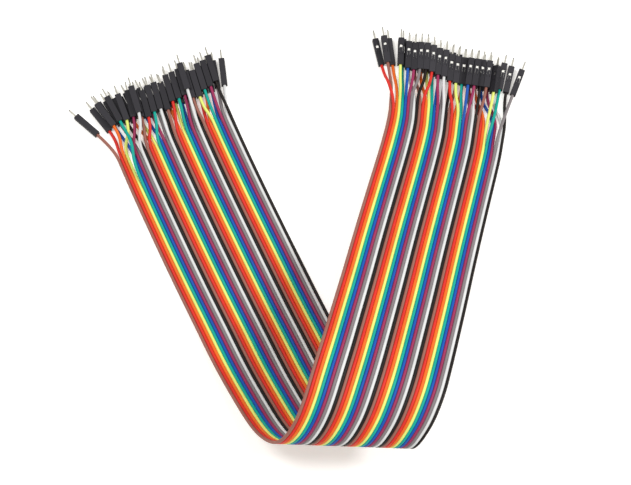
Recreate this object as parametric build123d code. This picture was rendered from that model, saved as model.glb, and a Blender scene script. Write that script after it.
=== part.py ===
"""Ribbon of forty jumper wires, 40 cm class, with a single-way male connector on every wire end.

The flat ribbon lies on a surface. Its left limb is flat on it, the ribbon then rises, folds over in
one soft loop, and its right limb comes back down a straight slope to the surface. Past the bonded
part the wires of both ends are split apart, and their connectors lie in a fan, two or three deep.
Origin: centre of the footprint, on the surface. X to the right, Y away, Z up. Millimetres.
"""
import math
import os

from build123d import *

# ---- Driving dimensions ------------------------------------------------------------------------
WIRE_COUNT = 40
COLOURS = ("brown", "red", "orange", "yellow", "green", "blue", "purple", "grey", "white", "black")
WIRE_DIA = 1.2              # over the insulation
WIRE_LIE = 0.65             # height of a wire's centre where it lies on the surface

HOUSING_W = 2.5             # square housing, made for a 2.54 mm grid
HOUSING_L = 12.0
BORE_W = 1.7
FRONT_WALL = 1.0
PIN_HOLE = 0.85
WINDOW_X, WINDOW_L, WINDOW_W = 8.3, 1.5, 1.3    # latch window, centre measured from the wire side
SLOT_L, SLOT_W = 3.2, 0.1                       # the two slots that free the latch tongue
FRONT_CHAMFER = 0.2

PIN_W, PIN_OUT, PIN_TIP_L, PIN_TIP_W = 0.64, 4.4, 0.9, 0.3
SHEET = 0.2                 # the contact's sheet metal
JACKET_END = 2.9            # the insulation ends this far inside the housing
GRIP_X, GRIP_L = 0.9, 1.8   # insulation grip
CRIMP_X, CRIMP_L = 3.0, 2.0  # conductor crimp
BODY_X, BODY_W, BODY_TOP = 5.8, 1.62, 0.6

BEND_SHARE = 0.45           # of the shorter run, used by each arc of a wire's route
STRAIGHT = 3.6              # each wire runs this far straight out of its housing

# ---- The bonded ribbon -------------------------------------------------------------------------
# Guide points of its two edge wires, from the split at the left end, along the left limb, over the
# loop and down the slope to the split at the right end. The wires between share them out evenly.
BROWN_EDGE = [
    (-70, 20.5, 0.65), (-64.8, 10.8, 0.65), (-58.2, -1, 0.65), (-49.8, -15.8, 0.65),
    (-42.5, -28.3, 0.65), (-33.5, -43.5, 2), (-25.5, -57.5, 6), (-17.5, -70, 10.5),
    (-9.5, -82, 17.5), (-4, -88.5, 24), (1.6, -92, 32.5), (5.4, -90.5, 38.5),
    (8.7, -85.5, 43), (11.4, -77.5, 46.5), (14, -65, 47), (16.5, -54, 44.5),
    (19.2, -40.9, 39.9), (22.7, -24, 34.1), (26.7, -3.5, 27.2), (31.4, 19, 19.9),
    (35.2, 37, 14.1), (37.3, 50, 10), (37.4, 57, 7.8),
]
BLACK_EDGE = [
    (-26, 43.5, 0.65), (-20.3, 32.9, 0.65), (-11.6, 17.2, 0.65), (2.3, -7.1, 0.65),
    (15.6, -30, 0.65), (25.5, -46.5, 2.5), (33.5, -60.5, 6), (41, -72.5, 10.5),
    (46.2, -81.4, 15), (50.2, -86.4, 20), (53, -89.4, 24.5), (55.3, -88.6, 28.5),
    (57.5, -84.6, 31.8), (59.8, -79, 34.5), (62.4, -69.5, 35.5), (64.5, -59.5, 33),
    (67, -47.5, 28.8), (70.2, -32, 23.6), (74, -13.2, 17.3), (78, 7.5, 10.7),
    (81.4, 24.5, 5.3), (84, 37.5, 1.3), (84.8, 44.5, 0.65),
]


# ---- Where the connectors lie ------------------------------------------------------------------
# Each is (x, y, heading, layer): the middle of the wire side, the way the pin points in degrees
# clockwise from +Y, and how many housings it lies on.
def row(wires, first, last, layer, pushes):
    """Connectors side by side in one layer, each pushed a little in or out of line."""
    places = {}
    for k, (wire, push) in enumerate(zip(wires, pushes)):
        share = k / (len(wires) - 1)
        x, y, heading = (a + (b - a) * share for a, b in zip(first, last))
        turn = math.radians(heading)
        places[wire] = (x + push * math.sin(turn), y + push * math.cos(turn), heading, layer)
    return places


LEFT_END = {
    1: (-82, 34.5, -53, 0),
    2: (-77.2, 36.5, -43, 0),
    3: (-75.3, 38, -42, 1),
    5: (-73, 40.2, -33, 1),
    4: (-70.2, 40.8, -25, 1),
    7: (-67.6, 42.4, -19, 1),
    9: (-65.3, 43.6, -22, 2),
    29: (-46.5, 55.4, -21.5, 2),
    39: (-31.8, 60.4, -11.5, 0),
    **row([6, 8, 10, 13, 14, 16, 17, 18, 20, 23, 24, 26, 28, 30, 32, 33, 36, 38],
          (-75.1, 38.2, -39), (-34.4, 58.6, -15), 0,
          [0.7, 0.3, 0, -0.5, 0.6, -0.4, 0.5, 0, -0.3, -0.5, 0.6, -0.6, 0, 0.5, -0.5, 0.3, 0, 0.6]),
    **row([11, 12, 15, 19, 21, 22, 25, 27, 31, 34, 35, 37, 40],
          (-64.8, 44, -20), (-35.1, 60.5, -22), 1,
          [-1.5, -2.7, -1.5, -1.4, -3, -0.3, -0.2, 0.1, -2.5, -3.1, -1, -0.8, 0.4]),
}
RIGHT_END = {
    2: (32.9, 74.8, -16.5, 0),
    1: (35.3, 75.2, -11.5, 1),
    3: (37.5, 75.2, -11, 0),
    4: (40.6, 74.6, -1.5, 1),
    26: (69, 66.9, 4.5, 2),
    27: (71.6, 66.7, 5.5, 2),
    35: (82.7, 67.9, 8, 0),
    40: (85.4, 66.8, 9.5, 0),
    38: (88.3, 66, 17, 0),
    34: (79.95, 65.3, 5.5, 1.21),
    **row([5, 9, 11, 13, 14, 15, 16, 18, 20, 21, 23, 32, 33, 36, 37, 39],
          (41.6, 75, -1.5), (79.9, 66.3, 6), 0,
          [0.1, -0.5, 0.4, -0.2, 0.5, -0.1, -0.4, 0.1, 0.4, 0.3, -0.3, -0.5, 0, -0.4, 0.3, -0.2]),
    **row([6, 7, 8, 10, 12, 17, 19, 22, 24, 25, 28, 29, 30, 31],
          (43.8, 73.3, -0.5), (76.8, 66.2, 5), 1,
          [0, 0, 1.1, 1.6, 1.3, 0.7, 0.7, -0.5, -0.7, -0.5, 0, 0.3, 0.8, 1.2]),
}
# A left connector lies with its window down and a right one with it up, but for two that have turned.
ROLL = {("right", 3): 180, ("right", 34): -45}
# Wires that pass over their neighbours on the way to their connectors, and how far they are lifted.
LEFT_LIFT = {5: 3.5}
RIGHT_LIFT = {2: 1.35, 35: 1.35, 38: 1.8}


# ---- The wires' routes -------------------------------------------------------------------------
def layer_height(layer):
    """Height of the middle of a housing that lies on this many others."""
    return HOUSING_W * (layer + 0.5)


def tail(end, before, place, lift):
    """Points from the split of the ribbon to the crimp inside the housing."""
    x, y, heading, layer = place
    turn = math.radians(heading)
    ahead = Vector(math.sin(turn), math.cos(turn))
    rear = Vector(x, y, layer_height(layer))
    lane = Vector(end.X - before.X, end.Y - before.Y).normalized()
    near = rear - ahead * STRAIGHT
    reach = math.hypot(near.X - end.X, near.Y - end.Y)
    if lift:
        middle = rear - ahead * (STRAIGHT + 0.5 * reach)
        middle.Z = max(end.Z, 0.6 * rear.Z + 0.4 * end.Z) + 0.6 * lift
    else:
        middle = end + lane * reach * (0.5 if layer else 0.46)
        middle.Z = max(WIRE_LIE, 0.45 * end.Z + 0.55 * rear.Z)
    return [middle, near, rear + ahead * JACKET_END]


def route(wire):
    """All points of one wire's route, from its left contact to its right contact."""
    share = (wire - 1) / (WIRE_COUNT - 1)
    bonded = [Vector(*a) + (Vector(*b) - Vector(*a)) * share for a, b in zip(BROWN_EDGE, BLACK_EDGE)]
    left_lift, right_lift = LEFT_LIFT.get(wire, 0), RIGHT_LIFT.get(wire, 0)
    bonded[0] += Vector(0, 0, left_lift)
    bonded[-1] += Vector(0, 0, right_lift)
    left = tail(bonded[0], bonded[1], LEFT_END[wire], left_lift)
    right = tail(bonded[-1], bonded[-2], RIGHT_END[wire], right_lift)
    return left[::-1] + bonded + right


def corner_radii(points):
    """The largest arc that each corner's two runs allow."""
    radii = []
    for before, corner, after in zip(points, points[1:], points[2:]):
        arriving, leaving = corner - before, after - corner
        half_turn = math.radians(arriving.get_angle(leaving)) / 2
        radii.append(BEND_SHARE * min(arriving.length, leaving.length) / math.tan(half_turn))
    return radii


def wire_solid(points):
    """A round insulated wire swept along its route."""
    path = FilletPolyline(*points, radius=corner_radii(points))
    section = Plane(origin=path @ 0, z_dir=path % 0) * Circle(WIRE_DIA / 2)
    return sweep(section, path=path)


# ---- The connectors, drawn with the wire side at x = 0, the pin along +X and the window up -----
def block(x0, x1, width, z0, z1, y=0.0):
    """A box from x0 to x1 and z0 to z1, centred on y."""
    return Pos((x0 + x1) / 2, y, (z0 + z1) / 2) * Box(x1 - x0, width, z1 - z0)


def housing_solid():
    """Moulded single-way housing: open bore, pin hole, latch window and freed latch tongue."""
    half, bore = HOUSING_W / 2, BORE_W / 2
    shell = block(0, HOUSING_L, HOUSING_W, -half, half)
    shell = chamfer(shell.faces().sort_by(Axis.X)[-1].edges(), FRONT_CHAMFER)
    shell -= block(-1, HOUSING_L - FRONT_WALL, BORE_W, -bore, bore)
    shell -= block(HOUSING_L - 2, HOUSING_L + 1, PIN_HOLE, -PIN_HOLE / 2, PIN_HOLE / 2)
    window_rear = WINDOW_X - WINDOW_L / 2
    shell -= block(window_rear, window_rear + WINDOW_L, WINDOW_W, 0, half + 1)
    for side in (-1, 1):
        slot_y = side * (WINDOW_W - SLOT_W) / 2
        shell -= block(window_rear - SLOT_L, window_rear, SLOT_W, 0, half + 1, slot_y)
    return shell


def contact_solid():
    """Male crimp contact, folded from sheet: grip, crimp, box body with its stop, square pin."""
    floor = -BORE_W / 2
    contact = block(GRIP_X, BODY_X, 1.1, floor, floor + SHEET)
    for side in (-1, 1):
        contact += block(GRIP_X, GRIP_X + GRIP_L, SHEET, floor, 0.45, side * (BODY_W - SHEET) / 2)
    contact += block(GRIP_X, GRIP_X + GRIP_L, BODY_W, floor, floor + SHEET)
    rolled = Polyline((-0.6, floor), (0.6, floor), (0.6, 0.3), (0.25, 0.45), (0, 0.2),
                      (-0.25, 0.45), (-0.6, 0.3), close=True)
    barrel = Plane(origin=(CRIMP_X, 0, 0), x_dir=(0, 1, 0), z_dir=(1, 0, 0)) * make_face(rolled)
    contact += extrude(barrel, amount=CRIMP_L)
    body_end = HOUSING_L - FRONT_WALL
    contact += block(BODY_X, body_end, BODY_W, floor, BODY_TOP)
    contact += block(WINDOW_X - 0.6, WINDOW_X + 0.6, 1.0, BODY_TOP, BODY_TOP + SHEET)
    pin_end = HOUSING_L + PIN_OUT
    contact += block(body_end, pin_end - PIN_TIP_L, PIN_W, -PIN_W / 2, PIN_W / 2)
    tip_base = Plane(origin=(pin_end - PIN_TIP_L, 0, 0), z_dir=(1, 0, 0))
    tip = loft([tip_base * Rectangle(PIN_W, PIN_W),
                tip_base.offset(PIN_TIP_L) * Rectangle(PIN_TIP_W, PIN_TIP_W)])
    return contact + tip


def placed(solid, place, roll):
    """A housing or contact moved to where its connector lies."""
    x, y, heading, layer = place
    lie = Location((x, y, layer_height(layer)), (0, 0, 90 - heading))
    return lie * Rot(roll, 0, 0) * solid


# ---- Writing the nodes -------------------------------------------------------------------------
def write(shape, node):
    export_step(shape, f"parts/{node}.step")


def write_connectors(name, solid):
    """Ten like pieces to a node, at each end of the ribbon."""
    for end, places, usual_roll in (("left", LEFT_END, 180), ("right", RIGHT_END, 0)):
        for first in range(1, WIRE_COUNT + 1, 10):
            group = [placed(solid, places[wire], ROLL.get((end, wire), usual_roll))
                     for wire in range(first, first + 10)]
            write(Compound(children=group), f"{name}_{end}_{first:02d}_{first + 9:02d}")


os.makedirs("parts", exist_ok=True)
for number in range(1, WIRE_COUNT + 1):
    route_points = route(number)
    colour = COLOURS[(number - 1) % len(COLOURS)]
    write(wire_solid(route_points), f"wire_{number:02d}_{colour}")
    print(f"wire {number:2d} smallest radius {min(corner_radii(route_points)):5.1f} mm")
write_connectors("housings", housing_solid())
write_connectors("contacts", contact_solid())
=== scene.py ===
import math

import bmesh
import bpy
from mathutils import Euler, Matrix, Vector


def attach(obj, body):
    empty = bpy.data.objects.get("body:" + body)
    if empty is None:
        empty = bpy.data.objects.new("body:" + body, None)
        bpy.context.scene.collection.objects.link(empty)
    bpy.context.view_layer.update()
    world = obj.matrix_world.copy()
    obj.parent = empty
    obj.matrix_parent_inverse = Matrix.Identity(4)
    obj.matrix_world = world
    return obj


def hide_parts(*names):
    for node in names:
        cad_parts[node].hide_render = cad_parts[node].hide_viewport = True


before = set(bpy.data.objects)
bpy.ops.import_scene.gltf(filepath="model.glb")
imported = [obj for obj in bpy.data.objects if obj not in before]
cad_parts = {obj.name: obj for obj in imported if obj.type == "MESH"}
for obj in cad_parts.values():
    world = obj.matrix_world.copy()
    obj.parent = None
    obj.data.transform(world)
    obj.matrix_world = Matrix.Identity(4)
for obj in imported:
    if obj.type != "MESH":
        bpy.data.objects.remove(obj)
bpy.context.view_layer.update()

# ---- The forty wires -----------------------------------------------------------------------------
# Stranded hook-up wire in soft PVC insulation, ten colours four times over. The wires are extruded
# side by side and bonded into one flat ribbon, which is folded over once and split at both ends.
MM = 0.001
WIRE_COUNT = 40
WIRE_DIA = 1.3 * MM
WIRE_LIE = 0.65 * MM        # height of a wire's middle where it lies on the table
HOUSING_W = 2.5 * MM
JACKET_END = 2.9 * MM       # the insulation ends this far inside the housing
STRAIGHT = 3.6 * MM         # each wire runs this far straight out of its housing
INSULATION_COLOURS = {
    "brown": "#966154", "red": "#d52e23", "orange": "#e66a20", "yellow": "#dfe877", "green": "#07a091",
    "blue": "#1350a7", "purple": "#972d56", "grey": "#7f7879", "white": "#d8d8d7", "black": "#17100c",
}

# Guide points in millimetres of the ribbon's two edge wires, from the left split over the loop to
# the right split. The wires between share them out evenly.
BROWN_EDGE = [
    (-70, 20.5, 0.65), (-64.8, 10.8, 0.65), (-58.2, -1, 0.65), (-49.8, -15.8, 0.65),
    (-42.5, -28.3, 0.65), (-33.5, -43.5, 2), (-25.5, -57.5, 6), (-17.5, -70, 10.5),
    (-9.5, -82, 17.5), (-4, -88.5, 24), (1.6, -92, 32.5), (5.4, -90.5, 38.5),
    (8.7, -85.5, 43), (11.4, -77.5, 46.5), (14, -65, 47), (16.5, -54, 44.5),
    (19.2, -40.9, 39.9), (22.7, -24, 34.1), (26.7, -3.5, 27.2), (31.4, 19, 19.9),
    (35.2, 37, 14.1), (37.3, 50, 10), (37.4, 57, 7.8),
]
BLACK_EDGE = [
    (-26, 43.5, 0.65), (-20.3, 32.9, 0.65), (-11.6, 17.2, 0.65), (2.3, -7.1, 0.65),
    (15.6, -30, 0.65), (25.5, -46.5, 2.5), (33.5, -60.5, 6), (41, -72.5, 10.5),
    (46.2, -81.2, 15), (50, -85.8, 20), (52.7, -88.5, 24.5), (54.8, -87.7, 28.5),
    (57.2, -84.2, 31.8), (60, -78.8, 34.5), (63.1, -69.3, 35.5), (65.2, -59.5, 33),
    (67.6, -47.5, 28.8), (70.6, -32, 23.6), (74, -13.2, 17.3), (78, 7.5, 10.7),
    (81.4, 24.5, 5.3), (84, 37.5, 1.3), (84.8, 44.5, 0.65),
]


def row(wires, first, last, layer, pushes):
    """Connectors side by side in one layer: (x, y, heading, layer) by wire."""
    places = {}
    for k, (wire, push) in enumerate(zip(wires, pushes)):
        share = k / (len(wires) - 1)
        x, y, heading = (a + (b - a) * share for a, b in zip(first, last))
        turn = math.radians(heading)
        places[wire] = (x + push * math.sin(turn), y + push * math.cos(turn), heading, layer)
    return places


# Each connector is (x, y, heading, layer): the middle of its wire side in millimetres, the way its
# pin points in degrees clockwise from +Y, and how many housings it lies on.
LEFT_END = {
    1: (-82, 34.5, -53, 0),
    2: (-77.2, 36.5, -43, 0),
    3: (-75.3, 38, -42, 1),
    5: (-73, 40.2, -33, 1),
    4: (-70.2, 40.8, -25, 1),
    7: (-67.6, 42.4, -19, 1),
    9: (-65.3, 43.6, -22, 2),
    29: (-46.5, 55.4, -21.5, 2),
    39: (-31.8, 60.4, -11.5, 0),
    **row([6, 8, 10, 13, 14, 16, 17, 18, 20, 23, 24, 26, 28, 30, 32, 33, 36, 38],
          (-75.1, 38.2, -39), (-34.4, 58.6, -15), 0,
          [0.7, 0.3, 0, -0.5, 0.6, -0.4, 0.5, 0, -0.3, -0.5, 0.6, -0.6, 0, 0.5, -0.5, 0.3, 0, 0.6]),
    **row([11, 12, 15, 19, 21, 22, 25, 27, 31, 34, 35, 37, 40],
          (-64.8, 44, -20), (-35.1, 60.5, -22), 1,
          [-1.5, -2.7, -1.5, -1.4, -3, -0.3, -0.2, 0.1, -2.5, -3.1, -1, -0.8, 0.4]),
}
RIGHT_END = {
    2: (32.9, 74.8, -16.5, 0),
    1: (35.3, 75.2, -11.5, 1),
    3: (37.5, 75.2, -11, 0),
    4: (40.6, 74.6, -1.5, 1),
    26: (69, 66.9, 4.5, 2),
    27: (71.6, 66.7, 5.5, 2),
    35: (82.7, 67.9, 8, 0),
    40: (85.4, 66.8, 9.5, 0),
    38: (88.3, 66, 17, 0),
    34: (79.95, 65.3, 5.5, 1.21),
    **row([5, 9, 11, 13, 14, 15, 16, 18, 20, 21, 23, 32, 33, 36, 37, 39],
          (41.6, 75, -1.5), (79.9, 66.3, 6), 0,
          [0.1, -0.5, 0.4, -0.2, 0.5, -0.1, -0.4, 0.1, 0.4, 0.3, -0.3, -0.5, 0, -0.4, 0.3, -0.2]),
    **row([6, 7, 8, 10, 12, 17, 19, 22, 24, 25, 28, 29, 30, 31],
          (43.8, 73.3, -0.5), (76.8, 66.2, 5), 1,
          [0, 0, 1.1, 1.6, 1.3, 0.7, 0.7, -0.5, -0.7, -0.5, 0, 0.3, 0.8, 1.2]),
}
# A left connector lies with its window down and a right one with it up, but for two that have turned.
TURNED = {("right", 3): 180, ("right", 34): -45}
# Wires that pass over their neighbours on the way to their connectors, and their lift in millimetres.
LEFT_LIFT = {5: 3.5}
RIGHT_LIFT = {2: 1.35, 35: 1.35, 38: 1.8}


def rear_and_heading(place):
    """Middle of a connector's wire side, and the way its pin points."""
    x, y, heading, layer = place
    turn = math.radians(heading)
    rear = Vector((x * MM, y * MM, HOUSING_W * (layer + 0.5)))
    return rear, Vector((math.sin(turn), math.cos(turn), 0))


def tail(end, before, place, lift):
    """Points from the split of the ribbon to the crimp inside the housing."""
    rear, ahead = rear_and_heading(place)
    lane = Vector((end.x - before.x, end.y - before.y, 0)).normalized()
    near = rear - ahead * STRAIGHT
    reach = (near.xy - end.xy).length
    if lift:
        middle = rear - ahead * (STRAIGHT + 0.5 * reach)
        middle.z = max(end.z, 0.6 * rear.z + 0.4 * end.z) + 0.6 * lift
    else:
        middle = end + lane * reach * (0.5 if place[3] else 0.46)
        middle.z = max(WIRE_LIE, 0.45 * end.z + 0.55 * rear.z)
    return [middle, near, rear + ahead * JACKET_END]


def route(wire):
    """The control points of one wire, from its left contact to its right contact."""
    share = (wire - 1) / (WIRE_COUNT - 1)
    bonded = [Vector(a).lerp(Vector(b), share) * MM for a, b in zip(BROWN_EDGE, BLACK_EDGE)]
    left_lift = LEFT_LIFT.get(wire, 0) * MM
    right_lift = RIGHT_LIFT.get(wire, 0) * MM
    bonded[0].z += left_lift
    bonded[-1].z += right_lift
    left = tail(bonded[0], bonded[1], LEFT_END[wire], left_lift)
    right = tail(bonded[-1], bonded[-2], RIGHT_END[wire], right_lift)
    return left[::-1] + bonded + right


def linear(code):
    """An sRGB hex colour as the linear values that a shader takes."""
    channels = [int(code[i:i + 2], 16) / 255 for i in (1, 3, 5)]
    return [c / 12.92 if c <= 0.04045 else ((c + 0.055) / 1.055) ** 2.4 for c in channels] + [1.0]


def add_node(tree, kind, settings=None, inputs=None):
    """Add a node, set its properties, and fill or link its inputs."""
    node = tree.nodes.new(kind)
    for name, value in (settings or {}).items():
        setattr(node, name, value)
    for name, value in (inputs or {}).items():
        if isinstance(value, bpy.types.NodeSocket):
            tree.links.new(value, node.inputs[name])
        else:
            node.inputs[name].default_value = value
    return node


# Places of a colour mix's two inputs and its result among the Mix node's sockets.
MIX_A, MIX_B, MIX_RESULT = 6, 7, 2


def new_material(name):
    """An empty material with its output, and its Principled shader linked to it."""
    material = bpy.data.materials.new(name)
    material.use_nodes = True
    tree = material.node_tree
    tree.nodes.clear()
    shader = add_node(tree, "ShaderNodeBsdfPrincipled")
    add_node(tree, "ShaderNodeOutputMaterial", inputs={"Surface": shader.outputs["BSDF"]})
    return material, tree, shader


def pvc_insulation(colour, code):
    """Extruded soft PVC: a satin skin whose colour clouds a little along the wire."""
    material, tree, shader = new_material(f"extruded_pvc_{colour}")
    cloud_size, drawdown_size = 9 * MM, 0.5 * MM
    darker, lighter = 0.86, 1.12
    place = add_node(tree, "ShaderNodeTexCoord").outputs["Object"]
    cloud = add_node(tree, "ShaderNodeTexNoise",
                     inputs={"Vector": place, "Scale": 1 / cloud_size, "Detail": 3.0})
    pigment = linear(code)
    tone = add_node(tree, "ShaderNodeMix", {"data_type": "RGBA"}, {"Factor": cloud.outputs["Fac"]})
    tone.inputs[MIX_A].default_value = [c * darker for c in pigment[:3]] + [1]
    tone.inputs[MIX_B].default_value = [min(1, c * lighter) for c in pigment[:3]] + [1]
    skin = add_node(tree, "ShaderNodeTexNoise",
                    inputs={"Vector": place, "Scale": 1 / drawdown_size, "Detail": 2.0})
    gloss = add_node(tree, "ShaderNodeMapRange",
                     inputs={"Value": skin.outputs["Fac"], "To Min": 0.48, "To Max": 0.64})
    bump = add_node(tree, "ShaderNodeBump",
                    inputs={"Height": skin.outputs["Fac"], "Strength": 0.12, "Distance": 0.02 * MM})
    tree.links.new(tone.outputs[MIX_RESULT], shader.inputs["Base Color"])
    tree.links.new(gloss.outputs["Result"], shader.inputs["Roughness"])
    tree.links.new(bump.outputs["Normal"], shader.inputs["Normal"])
    shader.inputs["IOR"].default_value = 1.53
    shader.inputs["Specular IOR Level"].default_value = 0.25
    return material


def wire_curve(name, points, material):
    """A round wire along the smooth spline of its route."""
    data = bpy.data.curves.new(name, "CURVE")
    data.dimensions = "3D"
    spline = data.splines.new("NURBS")
    spline.points.add(len(points) - 1)
    for point, place in zip(spline.points, points):
        point.co = (*place, 1)
    spline.order_u = 3
    spline.use_endpoint_u = True
    data.resolution_u = 8
    data.bevel_depth = WIRE_DIA / 2
    data.bevel_resolution = 3
    data.use_fill_caps = True
    data.materials.append(material)
    curve = bpy.data.objects.new(name, data)
    bpy.context.collection.objects.link(curve)
    return curve


insulation = {colour: pvc_insulation(colour, code) for colour, code in INSULATION_COLOURS.items()}
wires = {}
for number in range(1, WIRE_COUNT + 1):
    colour = list(INSULATION_COLOURS)[(number - 1) % len(INSULATION_COLOURS)]
    name = f"wire_{number:02d}_{colour}"
    wires[number] = wire_curve(f"{name}_insulated", route(number), insulation[colour])
    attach(wires[number], "root")
    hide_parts(name)

# ---- The contacts --------------------------------------------------------------------------------
# Male crimp contacts, stamped and folded from tinned brass strip. The wire's end is crimped in each,
# its folded box stops against the housing's front wall, and its square pin stands out of it.
SHEET = 0.2 * MM
BORE_HALF = 0.85 * MM
BODY_HALF = 0.81 * MM
PIN_HALF = 0.32 * MM
PIN_TIP_HALF = 0.13 * MM
HOUSING_L = 12.0 * MM
FRONT_WALL = 1.0 * MM
PIN_OUT = 4.4 * MM
PIN_TIP_L = 0.9 * MM
WINDOW_X = 8.3 * MM
SORT_AXIS = Vector((1, 0.618, 0.271))     # oblique, so that the corners of a part seldom tie along it


def cell_mesh(bm, xs, ys, zs, is_solid):
    """Faces around the solid cells of a grid with uneven spacing."""
    def middle(values, k):
        return (values[k] + values[k + 1]) / 2

    def solid(i, j, k):
        inside = 0 <= i < len(xs) - 1 and 0 <= j < len(ys) - 1 and 0 <= k < len(zs) - 1
        return inside and is_solid(middle(xs, i), middle(ys, j), middle(zs, k))

    corners = {}

    def corner(i, j, k):
        if (i, j, k) not in corners:
            corners[i, j, k] = bm.verts.new((xs[i], ys[j], zs[k]))
        return corners[i, j, k]

    for i in range(len(xs) - 1):
        for j in range(len(ys) - 1):
            for k in range(len(zs) - 1):
                if not solid(i, j, k):
                    continue
                for axis in range(3):
                    for side in (0, 1):
                        step = [0, 0, 0]
                        step[axis] = 2 * side - 1
                        if solid(i + step[0], j + step[1], k + step[2]):
                            continue
                        loop = []
                        for a, b in ((0, 0), (1, 0), (1, 1), (0, 1)):
                            offset = [0, 0, 0]
                            offset[axis] = side
                            offset[(axis + 1) % 3] = a
                            offset[(axis + 2) % 3] = b
                            loop.append(corner(i + offset[0], j + offset[1], k + offset[2]))
                        bm.faces.new(loop if side else loop[::-1])


def finish_part(bm, name, edge_radius, segments):
    """Join flat faces, round the sharp edges, and give the mesh an object."""
    bmesh.ops.dissolve_limit(bm, angle_limit=math.radians(1), verts=bm.verts, edges=bm.edges)
    sharp = [edge for edge in bm.edges if edge.is_manifold and edge.calc_face_angle() > math.radians(35)]
    bmesh.ops.bevel(bm, geom=sharp, offset=edge_radius, segments=segments, affect="EDGES",
                    clamp_overlap=True)
    bmesh.ops.triangulate(bm, faces=bm.faces)
    # The steps above leave corners and faces in no fixed order. Sorted by place, each run is the same.
    bm.verts.sort(key=lambda vert: vert.co.dot(SORT_AXIS))
    bm.faces.sort(key=lambda face: face.calc_center_median().dot(SORT_AXIS))
    mesh = bpy.data.meshes.new(name)
    bm.to_mesh(mesh)
    bm.free()
    return bpy.data.objects.new(name, mesh)


def contact_part():
    """One contact, drawn with its wire end at x = 0 and its pin along +X."""
    bm = bmesh.new()
    grip_start, grip_end = 0.9 * MM, 2.7 * MM
    barrel_start, barrel_end = 3.0 * MM, 5.0 * MM
    body_start, body_end = 5.8 * MM, HOUSING_L - FRONT_WALL
    floor, floor_top = -BORE_HALF, -BORE_HALF + SHEET
    body_top, stop_top = 0.6 * MM, 0.8 * MM
    stop = (WINDOW_X - 0.6 * MM, WINDOW_X + 0.6 * MM)

    def folded(x, y, z):
        if body_start < x < body_end:
            on_stop = stop[0] < x < stop[1] and abs(y) < 0.5 * MM
            return z < body_top or (on_stop and z < stop_top)
        if grip_start < x < grip_end:
            return z < floor_top or (abs(y) > BODY_HALF - SHEET and z < 0.45 * MM)
        if barrel_start < x < barrel_end:
            return abs(y) < 0.6 * MM and z < 0.35 * MM
        return z < floor_top and abs(y) < 0.55 * MM

    xs = [grip_start, grip_end, barrel_start, barrel_end, body_start, *stop, body_end]
    half_ys = [0.5 * MM, 0.55 * MM, 0.6 * MM, BODY_HALF - SHEET, BODY_HALF]
    ys = [-y for y in half_ys[::-1]] + half_ys
    zs = [floor, floor_top, 0.35 * MM, 0.45 * MM, body_top, stop_top]
    cell_mesh(bm, xs, ys, zs, folded)

    pin_end = HOUSING_L + PIN_OUT
    rings = []
    square = ((1, 1), (-1, 1), (-1, -1), (1, -1))
    for x, half in ((body_end - SHEET, PIN_HALF), (pin_end - PIN_TIP_L, PIN_HALF), (pin_end, PIN_TIP_HALF)):
        rings.append([bm.verts.new((x, half * a, half * b)) for a, b in square])
    for near, far in zip(rings, rings[1:]):
        for a in range(4):
            b = (a + 1) % 4
            bm.faces.new((near[a], near[b], far[b], far[a]))
    bm.faces.new(rings[0][::-1])
    bm.faces.new(rings[-1])
    bmesh.ops.recalc_face_normals(bm, faces=bm.faces)
    pattern = finish_part(bm, "contact_pattern", 0.04 * MM, 1)
    # The folded box is marked for a whiter tone: a painted glint where it shows through the housing's
    # window.
    painted_glint = pattern.data.attributes.new("painted_glint", "FLOAT", "FACE")
    for face in pattern.data.polygons:
        painted_glint.data[face.index].value = 1.0 if body_start < face.center.x < body_end else 0.0
    return pattern


def fan_tree():
    """Geometry Nodes: lays one pattern part at every point, turned by its own 'lie'."""
    tree = bpy.data.node_groups.new("connector_fan", "GeometryNodeTree")
    tree.interface.new_socket("Geometry", in_out="OUTPUT", socket_type="NodeSocketGeometry")
    tree.interface.new_socket("Geometry", in_out="INPUT", socket_type="NodeSocketGeometry")
    tree.interface.new_socket("Part", in_out="INPUT", socket_type="NodeSocketObject")
    tree.interface.new_socket("Material", in_out="INPUT", socket_type="NodeSocketMaterial")
    tree.interface.new_socket("Darkest", in_out="INPUT", socket_type="NodeSocketFloat")
    tree.interface.new_socket("Lightest", in_out="INPUT", socket_type="NodeSocketFloat")
    tree.interface.new_socket("Seed", in_out="INPUT", socket_type="NodeSocketInt")
    given = add_node(tree, "NodeGroupInput").outputs
    lie = add_node(tree, "GeometryNodeInputNamedAttribute", {"data_type": "FLOAT_VECTOR"}, {"Name": "lie"})
    turn = add_node(tree, "FunctionNodeEulerToRotation", inputs={"Euler": lie.outputs["Attribute"]})
    part = add_node(tree, "GeometryNodeObjectInfo", inputs={"Object": given["Part"]})
    laid = add_node(tree, "GeometryNodeInstanceOnPoints", inputs={
        "Points": given["Geometry"], "Instance": part.outputs["Geometry"],
        "Rotation": turn.outputs["Rotation"]})
    shade = add_node(tree, "FunctionNodeRandomValue", {"data_type": "FLOAT"},
                     {2: given["Darkest"], 3: given["Lightest"], "Seed": given["Seed"]})
    kept = add_node(tree, "GeometryNodeStoreNamedAttribute", {"data_type": "FLOAT", "domain": "INSTANCE"}, {
        "Geometry": laid.outputs["Instances"], "Name": "shade", "Value": shade.outputs[1]})
    real = add_node(tree, "GeometryNodeRealizeInstances", inputs={"Geometry": kept.outputs["Geometry"]})
    coated = add_node(tree, "GeometryNodeSetMaterial", inputs={
        "Geometry": real.outputs["Geometry"], "Material": given["Material"]})
    add_node(tree, "NodeGroupOutput", inputs={"Geometry": coated.outputs["Geometry"]})
    return tree


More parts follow.
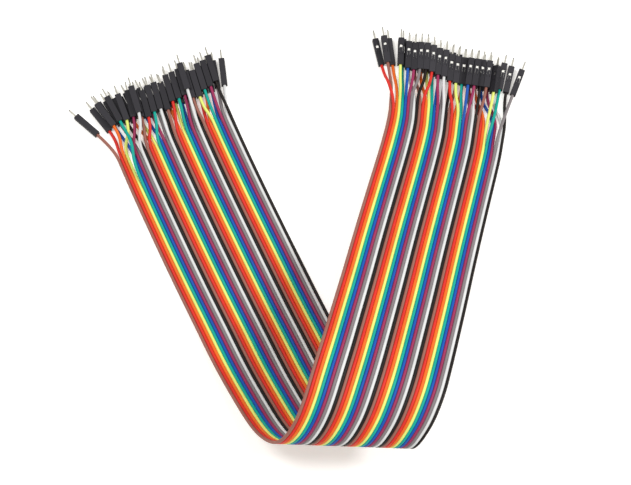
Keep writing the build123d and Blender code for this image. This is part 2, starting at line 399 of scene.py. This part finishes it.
def lay_fan(name, tree, part, material, places, rolls, shades, seed):
    """A plain mesh of ten like parts, one at each connector's place."""
    points = bpy.data.meshes.new(name)
    rears = [rear_and_heading(place)[0] for place in places]
    points.from_pydata(rears, [], [])
    lie = points.attributes.new("lie", "FLOAT_VECTOR", "POINT")
    for k, (place, roll) in enumerate(zip(places, rolls)):
        lie.data[k].vector = Euler((math.radians(roll), 0, math.radians(90 - place[2])))
    fan = bpy.data.objects.new(name, points)
    bpy.context.collection.objects.link(fan)
    modifier = fan.modifiers.new("fan", "NODES")
    modifier.node_group = tree
    inputs = {item.name: item.identifier for item in tree.interface.items_tree if item.in_out == "INPUT"}
    modifier[inputs["Part"]] = part
    modifier[inputs["Material"]] = material
    modifier[inputs["Darkest"]], modifier[inputs["Lightest"]] = shades
    modifier[inputs["Seed"]] = seed
    evaluated = fan.evaluated_get(bpy.context.evaluated_depsgraph_get())
    plain = bpy.data.meshes.new_from_object(evaluated)
    fan.modifiers.clear()
    fan.data = plain
    plain.materials.clear()
    plain.materials.append(material)
    return fan


def tinned_brass():
    """Bright tin over brass strip: a soft grey mirror, painted whiter on the folded box for a painted glint
    in the housing's window.
    """
    material, tree, shader = new_material("tinned_brass_strip")
    grain_size = 0.25 * MM
    place = add_node(tree, "ShaderNodeTexCoord").outputs["Object"]
    grain = add_node(tree, "ShaderNodeTexNoise",
                     inputs={"Vector": place, "Scale": 1 / grain_size, "Detail": 3.0})
    gloss = add_node(tree, "ShaderNodeMapRange",
                     inputs={"Value": grain.outputs["Fac"], "To Min": 0.22, "To Max": 0.42})
    tree.links.new(gloss.outputs["Result"], shader.inputs["Roughness"])
    # The pin, grip and barrel take the grey tin; the folded box is painted whiter, a painted glint.
    box = add_node(tree, "ShaderNodeAttribute", {"attribute_name": "painted_glint"})
    tone = add_node(tree, "ShaderNodeMix", {"data_type": "RGBA"}, {"Factor": box.outputs["Fac"]})
    tone.inputs[MIX_A].default_value = linear("#b2afa5")
    tone.inputs[MIX_B].default_value = linear("#e8e6df")
    tree.links.new(tone.outputs[MIX_RESULT], shader.inputs["Base Color"])
    shader.inputs["Metallic"].default_value = 1.0
    return material


fan = fan_tree()
contact = contact_part()
tin = tinned_brass()
GROUPS = [(end, places, [TURNED.get((end, wire), usual_roll) for wire in range(first, first + 10)], first)
          for end, places, usual_roll in (("left", LEFT_END, 180), ("right", RIGHT_END, 0))
          for first in range(1, WIRE_COUNT + 1, 10)]
on_wire = {number: [] for number in wires}
for seed, (end, places, rolls, first) in enumerate(GROUPS):
    node = f"contacts_{end}_{first:02d}_{first + 9:02d}"
    group = range(first, first + 10)
    lies = [places[number] for number in group]
    piece = lay_fan(f"{node}_folded", fan, contact, tin, lies, rolls, (0.0, 1.0), seed)
    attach(piece, "root")
    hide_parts(node)
    for number in group:
        on_wire[number].append(piece)

# ---- The housings --------------------------------------------------------------------------------
# Single-way housings, moulded in black glass-filled nylon. Each is a square tube with a pin hole in
# its front wall and a latch tongue that snaps behind the contact, seen through the window over it.
SLOT_L, SLOT_W = 3.2 * MM, 0.1 * MM
WINDOW_HALF_L, WINDOW_HALF_W = 0.63 * MM, 0.6 * MM
PIN_HOLE_HALF = 0.425 * MM


def housing_part():
    """One housing, drawn with its wire side at x = 0, its pin hole along +X and its window up."""
    bm = bmesh.new()
    half = HOUSING_W / 2
    bore_end = HOUSING_L - FRONT_WALL
    window_rear, window_front = WINDOW_X - WINDOW_HALF_L, WINDOW_X + WINDOW_HALF_L
    tongue_half = WINDOW_HALF_W - SLOT_W

    def moulded(x, y, z):
        if x < bore_end and abs(y) < BORE_HALF and abs(z) < BORE_HALF:
            return False
        if x > bore_end and abs(y) < PIN_HOLE_HALF and abs(z) < PIN_HOLE_HALF:
            return False
        if z > BORE_HALF and window_rear < x < window_front and abs(y) < WINDOW_HALF_W:
            return False
        slot = window_rear - SLOT_L < x < window_rear and tongue_half < abs(y) < WINDOW_HALF_W
        return not (z > BORE_HALF and slot)

    xs = [0, window_rear - SLOT_L, window_rear, window_front, bore_end, HOUSING_L]
    half_ys = [PIN_HOLE_HALF, tongue_half, WINDOW_HALF_W, BORE_HALF, half]
    ys = [-y for y in half_ys[::-1]] + half_ys
    zs = [-half, -BORE_HALF, -PIN_HOLE_HALF, PIN_HOLE_HALF, BORE_HALF, half]
    cell_mesh(bm, xs, ys, zs, moulded)
    return finish_part(bm, "housing_pattern", 0.09 * MM, 2)


def moulded_nylon():
    """Black nylon off a spark-eroded mould: fine satin, a little different from shot to shot, and painted
    lighter at the right end.
    """
    material, tree, shader = new_material("moulded_nylon_black")
    texture_size = 0.35 * MM
    place = add_node(tree, "ShaderNodeTexCoord").outputs["Object"]
    # The 'shade' attribute holds each housing's own random tone, and at the right end painted light too.
    shot_tone_and_painted_light = add_node(tree, "ShaderNodeAttribute", {"attribute_name": "shade"})
    tone = add_node(tree, "ShaderNodeMix", {"data_type": "RGBA"}, {"Factor": shot_tone_and_painted_light.outputs["Fac"]})
    tone.inputs[MIX_A].default_value = linear("#1f1d22")
    tone.inputs[MIX_B].default_value = linear("#38363b")
    erosion = add_node(tree, "ShaderNodeTexNoise",
                       inputs={"Vector": place, "Scale": 1 / texture_size, "Detail": 4.0})
    gloss = add_node(tree, "ShaderNodeMapRange",
                     inputs={"Value": erosion.outputs["Fac"], "To Min": 0.58, "To Max": 0.76})
    bump = add_node(tree, "ShaderNodeBump",
                    inputs={"Height": erosion.outputs["Fac"], "Strength": 0.2, "Distance": 0.02 * MM})
    tree.links.new(tone.outputs[MIX_RESULT], shader.inputs["Base Color"])
    tree.links.new(gloss.outputs["Result"], shader.inputs["Roughness"])
    tree.links.new(bump.outputs["Normal"], shader.inputs["Normal"])
    shader.inputs["IOR"].default_value = 1.53
    shader.inputs["Specular IOR Level"].default_value = 0.3
    return material


# The range of tones at each end of the ribbon, from the darkest at 0 to the lightest at 1. Within an
# end the tone differs at random from shot to shot; the right end's wider, lighter range is painted
# light on the housings there.
TONE_RANGES_AND_PAINTED_LIGHT = {"left": (0.0, 0.4), "right": (0.0, 0.7)}
housing = housing_part()
nylon = moulded_nylon()
for seed, (end, places, rolls, first) in enumerate(GROUPS):
    node = f"housings_{end}_{first:02d}_{first + 9:02d}"
    group = range(first, first + 10)
    lies = [places[number] for number in group]
    piece = lay_fan(f"{node}_moulded", fan, housing, nylon, lies, rolls, TONE_RANGES_AND_PAINTED_LIGHT[end], seed)
    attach(piece, "root")
    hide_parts(node)
    for number in group:
        on_wire[number].append(piece)

# ---- The table, the light and the camera ---------------------------------------------------------
# A plain white table top between two softboxes, a high one at the left and a lower one at the
# right, with a weak panel overhead that the metal and the nylon mirror. Only where both softboxes
# are hidden, under the fold, does a soft shadow show, and the table top's faint warm glow, painted
# light, lifts that shadow and warms it.
table_mesh = bpy.data.meshes.new("table_top")
half_table = 3.0
table_mesh.from_pydata([(-half_table, -half_table, 0), (half_table, -half_table, 0),
                        (half_table, half_table, 0), (-half_table, half_table, 0)], [], [(0, 1, 2, 3)])
table_top = bpy.data.objects.new("table_top", table_mesh)
bpy.context.collection.objects.link(table_top)
paper, paper_tree, paper_shader = new_material("matt_white_paper_with_painted_glow")
paper_shader.inputs["Base Color"].default_value = linear("#f6f5f3")
paper_shader.inputs["Roughness"].default_value = 0.9
# The paper glows a little in warm white: painted light that keeps the table white and lifts and warms the
# shadow under the fold.
paper_shader.inputs["Emission Color"].default_value = linear("#fffbf4")
paper_shader.inputs["Emission Strength"].default_value = 0.36
table_mesh.materials.append(paper)

world = bpy.data.worlds.new("studio")
bpy.context.scene.world = world
world.use_nodes = True
world.node_tree.nodes["Background"].inputs["Color"].default_value = (1, 1, 1, 1)
world.node_tree.nodes["Background"].inputs["Strength"].default_value = 0.5

# Each light is (place in metres, side in metres, power in watts) and faces the ribbon's middle.
SOFTBOXES = {
    "left_softbox": ((-0.29, 0.04, 0.82), 0.24, 2.9),
    "right_softbox": ((0.6, 0.04, 0.7), 0.24, 4.0),
    "overhead_panel": ((0.1, 0.27, 0.92), 0.3, 0.85),
}
for name, (place, size, power) in SOFTBOXES.items():
    box_data = bpy.data.lights.new(name, "AREA")
    box_data.shape = "SQUARE"
    box_data.size = size
    box_data.energy = power
    box = bpy.data.objects.new(name, box_data)
    bpy.context.collection.objects.link(box)
    box.location = place
    box.rotation_euler = (-Vector(place)).to_track_quat("-Z", "Y").to_euler()

# The camera looks from above and in front, rolled a little, with a long lens.
ELEVATION = math.radians(74)
CAMERA_ROLL = math.radians(4.42)
DISTANCE = 0.6385
target = Vector((0.011, -0.004, 0))
look = Vector((0, math.cos(ELEVATION), -math.sin(ELEVATION)))
side = Vector((1, 0, 0))
upward = side.cross(look)
rolled_side = side * math.cos(CAMERA_ROLL) + upward * math.sin(CAMERA_ROLL)
rolled_up = upward * math.cos(CAMERA_ROLL) - side * math.sin(CAMERA_ROLL)
camera_data = bpy.data.cameras.new("camera")
camera_data.lens = 89.72
camera_data.sensor_width = 36
camera = bpy.data.objects.new("camera", camera_data)
bpy.context.collection.objects.link(camera)
turn = Matrix((rolled_side, rolled_up, -look)).transposed().to_4x4()
camera.matrix_world = Matrix.Translation(target - look * DISTANCE) @ turn
bpy.context.scene.camera = camera
bpy.context.scene.view_settings.view_transform = "Standard"
